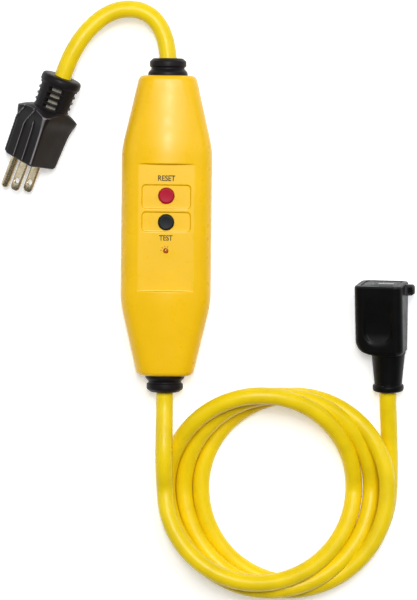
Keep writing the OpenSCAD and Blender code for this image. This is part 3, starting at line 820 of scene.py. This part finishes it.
def outline_points(corners, radii, spacing):
    """A rounded closed outline, walked at an even spacing: its points and outward normals."""
    path = fillet(corners, radii, steps=8, closed=True)
    loop = path + [path[0]]
    total = sum((b - a).length for a, b in zip(loop, loop[1:]))
    count = round(total / spacing)
    points, normals = [], []
    walked, target = 0, 0
    for a, b in zip(loop, loop[1:]):
        step = (b - a).length
        while len(points) < count and walked + step >= target:
            share = (target - walked) / step if step else 0
            direction = (b - a).normalized()
            points.append(a.lerp(b, share))
            normals.append(Vector((direction.y, -direction.x)))
            target += total / count
        walked += step
    return points, normals


PLUG_CORNERS = [(-16.4, -7.2), (9.2, -12.2), (9.2, 12.2), (-16.4, 7.2)]
PLUG_DEPTH = 25.6
SHOULDER_S = 23.9


def grip_point(p, n, s, extra=0.0):
    """A point of the grip's outline p with normal n, at s along the plug: deeper towards the shoulder."""
    deeper = 1 + 0.2 * (PLUG_L - s) / (PLUG_L - SHOULDER_S)
    flare = 1.9 * math.exp(-(((s - SHOULDER_S) / 5.5) ** 2))
    return Vector((p.x, p.y * deeper)) + n * (flare + extra)


# Thin raised ribs on the two long sides. For each: its share of the side at the face, where
# along the plug it starts, and how far across the side it has swept at the shoulder
RIBS = [(0.03, 20.4, 0.0), (0.31, 27.5, -0.04), (0.62, 21.2, -0.3), (0.96, 22.4, -0.3)]


RIB_HEIGHT, RIB_HALF_WIDTH = 0.9, 0.42


def rib_height(s, share):
    """Height of the ribs at s along the plug and share across its side."""
    height = 0
    for place, start, sweep in RIBS:
        centre = place + sweep * (1 - smoothstep(20, 34, s))
        across = (share - centre) * PLUG_DEPTH
        profile = math.exp(-((across / RIB_HALF_WIDTH) ** 2))
        height = max(height, RIB_HEIGHT * profile * smoothstep(start, start + 2.5, s))
    return height


def plug_body():
    """Ribbed grip, from its sloping shoulder to the rounded edge round the face."""
    points, normals = outline_points(PLUG_CORNERS, [4.2, 1.4, 1.4, 4.2], 0.34)
    count = len(points)
    normals = [sum((normals[(i + k) % count] for k in range(-2, 3)), Vector((0, 0))).normalized()
               for i in range(count)]
    rings = []

    def ring(s, inset=0.0, slope=None):
        row = []
        for p, n in zip(points, normals):
            share = (9.2 - p.x) / PLUG_DEPTH
            on_side = abs(n.y) > 0.6
            q = grip_point(p, n, max(s, SHOULDER_S) if slope is not None else s,
                           (rib_height(s, share) if on_side and inset == 0 else 0) - inset)
            along = s
            if slope is not None:
                neck = p.normalized() * 10.4
                far = (q.length - 10.4) / 8
                q = neck.lerp(q, slope)
                along = PLUG_NECK + min(1.15, far) * 3.9 * slope - 0.5 * math.sin(math.pi * slope)
            row.append((along, q.x, q.y))
        rings.append(row)

    rings.append([(PLUG_NECK - 1, *(p.normalized() * 10.3)) for p in points])
    for k in range(11):
        ring(PLUG_NECK + 4 * k / 10, slope=k / 10)
    edge = [row[0] for row in rings[-1]]
    for k in range(1, 9):
        row = []
        for i, (p, n) in enumerate(zip(points, normals)):
            s = edge[i] + (26.5 - edge[i]) * k / 8
            share = (9.2 - p.x) / PLUG_DEPTH
            rib = rib_height(s, share) if abs(n.y) > 0.6 else 0
            q = grip_point(p, n, max(s, SHOULDER_S), rib)
            row.append((s, q.x, q.y))
        rings.append(row)
    s = 27.0
    while s < PLUG_L - 1:
        ring(s)
        s += 0.5
    for k in range(5):
        angle = math.pi / 2 * k / 4
        ring(PLUG_L - 0.9 + 0.9 * math.sin(angle), inset=0.001 + 0.9 * (1 - math.cos(angle)))
    ring(PLUG_L, inset=1.45)
    ring(PLUG_L - 0.4, inset=1.6)
    ring(PLUG_L - 3, inset=1.6)
    return loft("plug_grip", rings, RIBBED_VINYL, "black_vinyl", place=PLUG, sharp=32)


def plug_face():
    """Rigid core that holds the pins, flush with the end of the grip."""
    points, normals = outline_points(PLUG_CORNERS, [4.2, 2.4, 2.4, 4.2], 0.8)
    rings = []
    for s, grow in ((PLUG_L - 7, -1.75), (PLUG_L - 0.6, -1.75), (PLUG_L - 0.25, -1.9), (PLUG_L - 0.05, -2.2)):
        rings.append([(s, (p + n * grow).x, (p + n * grow).y) for p, n in zip(points, normals)])
    piece = loft("plug_insert", rings, BLACK, "black_plastic", place=PLUG)
    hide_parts("plug_core")
    return piece


plug_neck_piece = plug_neck()
plug_grip = plug_body()
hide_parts("plug_body")
plug_insert = plug_face()
# Pale sleeve seen through the neck's slots, partly a painted reflection.
plug_sleeve = lathe(
    "plug_sleeve", [(5.6, 5.4), (5.6, 7.3), (20, 7.3), (20, 5.4)], SLEEVE_AND_SHEEN, "ivory_plastic", place=PLUG,
)


def blade(name, z, node):
    """Flat folded blade with rounded tip and a detent hole, its edges chamfered."""
    tip = PLUG_L + 17.9
    outline = fillet([(PLUG_L - 6, -3.175), (tip, -3.175), (tip, 3.175), (PLUG_L - 6, 3.175)],
                     [0, 2.2, 2.2, 0], steps=8, closed=True)
    normals = []
    for i in range(len(outline)):
        direction = (outline[(i + 1) % len(outline)] - outline[i - 1]).normalized()
        normals.append(Vector((direction.y, -direction.x)))
    rings = []
    for height, grow in ((-0.75, -0.45), (-0.6, -0.12), (-0.35, 0), (0.35, 0), (0.6, -0.12), (0.75, -0.45)):
        rings.append([(p.x + n.x * grow, p.y + n.y * grow, z + height) for p, n in zip(outline, normals)])
    piece = loft(name, rings, NICKEL, "nickel_brass", place=PLUG, sharp=30)
    hole = PLUG @ Matrix.Translation((PLUG_L + 11.9, 0, z)) @ Matrix.Rotation(-math.pi / 2, 4, "Y")
    cutter = lathe(name + "_hole", [(-2, 0), (-2, 2.2), (-0.75, 1.85), (-0.5, 1.6), (0.5, 1.6), (0.75, 1.85),
                                    (2, 2.2), (2, 0)],
                   NICKEL, "nickel_brass", steps=48, place=hole)
    cut_away(piece, cutter)
    piece.data.set_sharp_from_angle(angle=math.radians(30))
    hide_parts(node)
    return piece


hot_pin = blade("hot_prong", BLADE_GAP / 2, "hot_blade")
neutral_pin = blade("neutral_prong", -BLADE_GAP / 2, "neutral_blade")
PIN_R, PIN_TIP = 2.4, PLUG_L + 20.6
pin_outline = [(PLUG_L - 6, 0), (PLUG_L - 6, PIN_R), (PIN_TIP - 2.6, PIN_R)]
pin_outline += [(PIN_TIP - 2.6 + 2.6 * math.sin(a), PIN_R * math.cos(a) ** 0.8)
                for a in (math.pi / 2 * k / 10 for k in range(1, 11))]
ground_prong = lathe("ground_prong", pin_outline, NICKEL, "nickel_brass", steps=64,
                     place=PLUG @ Matrix.Translation((0, -GROUND_OFFSET, 0)), sharp=40)
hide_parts("ground_pin")

# ---------------------------------------------------------------- connector

CONNECTOR = lying((132, -96.4, 13), 91.2, -4.5, -14)
CONNECTOR_L = 64
BODY_S = 22.5
SIDE_LOW, SIDE_HIGH = -10.2, 18.2
RECESS_FOOT, RECESS_R, RECESS_Y, RECESS_DEPTH = 28, 8.8, 4, 1.9

neck_outline = fillet(
    [(0, 5.3), (0, 9.2), (3.8, 9.2), (4.2, 8.1), (22.3, 9.85), (22.4, 10.2), (27, 10.4), (27, 5)],
    [0, 1.5, 1.2, 0.4, 0.3, 0.1, 0.4, 0],
)
connector_neck = lathe(
    "connector_neck", neck_outline, CONNECTOR_VINYL, "black_connector", place=CONNECTOR, sharp=40,
)


def connector_half_depth(s):
    """Half the body's depth at s: it thickens towards the face."""
    return 10.6 + 3.8 * (s - BODY_S) / (CONNECTOR_L - BODY_S)


def box_ring(y0, y1, half_z, corner):
    """A rounded rectangle with a fixed number of points on each side and corner."""
    long_count, short_count, corner_count = 90, 24, 8
    ring = []
    corners = [(y1 - corner, half_z - corner, 0), (y0 + corner, half_z - corner, 1),
               (y0 + corner, corner - half_z, 2), (y1 - corner, corner - half_z, 3)]
    for index, (cy, cz, quarter) in enumerate(corners):
        for k in range(corner_count):
            angle = math.pi / 2 * (quarter + k / corner_count)
            ring.append((cy + corner * math.cos(angle), cz + corner * math.sin(angle)))
        ny, nz, _ = corners[(index + 1) % 4]
        angle = math.pi / 2 * (quarter + 1)
        start = (cy + corner * math.cos(angle), cz + corner * math.sin(angle))
        end = (ny + corner * math.cos(angle), nz + corner * math.sin(angle))
        count = long_count if index % 2 == 0 else short_count
        for k in range(count):
            share = k / count
            ring.append((start[0] + (end[0] - start[0]) * share, start[1] + (end[1] - start[1]) * share))
    return ring


def thumb_recess(s, y):
    """Depth of the U-shaped recess on each broad side, fading to its foot and to the face."""
    rear = RECESS_FOOT + RECESS_R
    across = abs(y - RECESS_Y)
    distance = RECESS_R - (math.hypot(across, s - rear) if s < rear else across)
    along = smoothstep(26.5, 36, s) * (1 - smoothstep(36, 60, s))
    return RECESS_DEPTH * smoothstep(-0.3, 1.9, distance) * along


def connector_body():
    """Grip of the connector: a flat box with one well rounded corner beside the neck."""
    rings = []

    def ring(s, inset=0.0, low=SIDE_LOW, high=SIDE_HIGH, relief=True):
        half_z = connector_half_depth(max(s, BODY_S)) - inset
        row = []
        for y, z in box_ring(low + inset, high - inset, half_z, max(0.6, 4.6 - inset)):
            if relief and abs(z) > half_z - 0.4:
                z -= math.copysign(thumb_recess(s, y), z)
            row.append((s, y, z))
        rings.append(row)

    ring(BODY_S, low=SIDE_LOW + 2, high=9, inset=1, relief=False)
    steps = 10
    for k in range(steps + 1):
        angle = math.pi / 2 * k / steps
        s = BODY_S + 8.6 * (1 - math.cos(angle))
        high = SIDE_HIGH - 8.6 * (1 - math.sin(angle))
        short_of_side = 1 - min(1, (s - BODY_S) / 1.6)
        low = SIDE_LOW + 1.6 * (1 - math.sqrt(max(0, 1 - short_of_side ** 2)))
        ring(s, low=low, high=high, inset=0.8 * short_of_side, relief=s > 27)
    s = 31.5
    while s < CONNECTOR_L - 1.2:
        ring(s)
        s += 0.5
    for k in range(6):
        angle = math.pi / 2 * k / 5
        ring(CONNECTOR_L - 1.1 + 1.1 * math.sin(angle), inset=1.1 * (1 - math.cos(angle)), relief=False)
    for s, inset in ((CONNECTOR_L, 3.2), (CONNECTOR_L - 0.4, 3.4), (CONNECTOR_L - 4, 3.4)):
        ring(s, inset=inset, relief=False)
    return loft("connector_grip", rings, CONNECTOR_VINYL, "black_connector", place=CONNECTOR, sharp=32)


connector_grip = connector_body()
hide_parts("connector_body")


SLOT_HALF_L, SLOT_HALF_W, GROUND_HOLE_R = 3.6, 1.1, 2.75


def connector_front():
    """Rigid face with two blade slots and the ground hole, each with a bevelled lip painted pale as a
    highlight.
    """
    rings = []
    for s, inset in ((CONNECTOR_L - 14, 3.6), (CONNECTOR_L - 0.7, 3.6), (CONNECTOR_L - 0.35, 3.75),
                     (CONNECTOR_L - 0.2, 4.1)):
        half_z = connector_half_depth(CONNECTOR_L) - inset
        rings.append([(s, y, z) for y, z in box_ring(SIDE_LOW + inset, SIDE_HIGH - inset, half_z, 2.4)])
    piece = loft("connector_insert", rings, BLACK, "black_plastic", place=CONNECTOR)
    for index, z in enumerate((-BLADE_GAP / 2, BLADE_GAP / 2)):
        slot_rings = []
        for past_face, grow in ((-12, 0), (-0.9, 0), (-0.2, 0.5), (1, 0.9)):
            outline = box_ring(-SLOT_HALF_L - grow, SLOT_HALF_L + grow, SLOT_HALF_W + grow, 0.3)
            slot_rings.append([(CONNECTOR_L + past_face, y, z + dz) for y, dz in outline])
        cutter = loft(f"slot_{index}", slot_rings, LIP_HIGHLIGHT, "black_plastic", place=CONNECTOR)
        cut_away(piece, cutter, keep_finish=True)
    hole = ((-12, 0), (-12, GROUND_HOLE_R), (-0.9, GROUND_HOLE_R), (-0.2, 3.3), (1, 3.8), (1, 0))
    cutter = lathe(
        "ground_cut", [(CONNECTOR_L + past_face, radius) for past_face, radius in hole], LIP_HIGHLIGHT, "black_plastic",
        steps=48, place=CONNECTOR @ Matrix.Translation((0, GROUND_OFFSET, 0)),
    )
    cut_away(piece, cutter, keep_finish=True)
    piece.data.set_sharp_from_angle(angle=math.radians(32))
    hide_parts("connector_face")
    return piece


connector_insert = connector_front()


TAB_HOLE = (60.6, -13.5, 0)


def tether_tab():
    """Small eyelet beside the face."""
    corners = [(57.4, -10.6), (57.6, -14.4), (58.6, -15.7), (62.6, -15.7), (63.8, -14.6), (63.8, -10.6)]
    outline = fillet(corners, [0, 1, 1, 1, 0.6, 0], steps=4, closed=True)
    middle = Vector((60.6, -13))
    rings = []
    for z, grow in ((-2, -0.4), (-1.7, 0), (1.7, 0), (2, -0.4)):
        slice_points = [(p - middle) * (1 + grow / 3) + middle for p in outline]
        rings.append([(p.x, p.y, z) for p in slice_points])
    piece = loft("tether_tab", rings, CONNECTOR_VINYL, "black_connector", place=CONNECTOR)
    upwards = CONNECTOR @ Matrix.Translation(TAB_HOLE) @ Matrix.Rotation(-math.pi / 2, 4, "Y")
    for index, (bottom, top) in enumerate(((-3, -0.6), (0.6, 3))):
        cutter = lathe(
            f"tab_hole_{index}", [(bottom, 0), (bottom, 1.25), (top, 1.25), (top, 0)],
            CONNECTOR_VINYL, "black_connector", steps=32, place=upwards,
        )
        cut_away(piece, cutter)
    piece.data.set_sharp_from_angle(angle=math.radians(35))
    return piece


tab = tether_tab()

# ---------------------------------------------------------------- finishes of the CAD pieces kept as they are

NODE_FINISH = {
    "cover_seal": SEAL, "cover_screws": SCREW,
    "test_contact": BRASS, "indicator_led": LENS, "circuit_board": BOARD, "latch_frame": IVORY,
    "contact_carrier": BLACK, "moving_contacts": BRASS, "contact_spring": STEEL, "fixed_contacts": BRASS,
    "solenoid_coil": COPPER_TURNS, "solenoid_plunger": STEEL, "latch_plate": STEEL, "coil_cradle": IVORY,
    "sensing_coil": BLUE_TURNS, "neutral_coil": BLUE_TURNS, "control_chip": BLACK,
    "filter_capacitor": CAPACITOR, "surge_varistor": VARISTOR, "test_resistor": RESISTOR,
    "rectifier_diodes": BLACK, "line_wires": WIRE_BLACK, "load_conductors": WIRE_COPPER,
    "load_wires": WIRE_BLACK, "ground_wire": WIRE_GREEN, "hot_contact": BRASS, "neutral_contact": BRASS,
    "ground_contact": BRASS,
}
for node_name, finish in NODE_FINISH.items():
    node_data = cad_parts[node_name].data
    node_data.materials.clear()
    node_data.materials.append(finish)

# ---------------------------------------------------------------- stage

floor_mat = shader(
    "floor", (0.92, 0.925, 0.935), 0.6, Emission_Color=(0.96, 0.98, 1, 1), Emission_Strength=0.35,
)[0]
bpy.ops.mesh.primitive_plane_add(size=6, location=(0, 0, -0.0002))
floor = bpy.context.object
floor.name = "floor"
floor.data.materials.append(floor_mat)


def area_light(name, place, aim, size, power, color=(1, 1, 1)):
    data = bpy.data.lights.new(name, "AREA")
    data.shape = "RECTANGLE"
    data.size, data.size_y = size
    data.energy = power
    data.color = color
    light = bpy.data.objects.new(name, data)
    light.location = place
    light.rotation_euler = (Vector(aim) - Vector(place)).to_track_quat("-Z", "Y").to_euler()
    bpy.context.scene.collection.objects.link(light)


area_light("sky_panel", (0.1, 0.75, 1.9), (0, 0, 0), (1.5, 0.8), 27)
area_light("streak_lamp", (0.01, 0.36, 2.0), (0, 0.05, 0), (0.09, 0.34), 10)
area_light("left_panel", (-1.4, 0.3, 0.9), (0, 0, 0), (0.5, 1.4), 2.5)
area_light("right_panel", (1.4, 0.5, 1.3), (0, 0, 0), (0.7, 1.2), 5)
world = bpy.data.worlds.new("studio")
world.use_nodes = True
world.node_tree.nodes["Background"].inputs["Color"].default_value = (1, 1, 1, 1)
world.node_tree.nodes["Background"].inputs["Strength"].default_value = 0.14
bpy.context.scene.world = world
bpy.context.scene.view_settings.view_transform = "Standard"
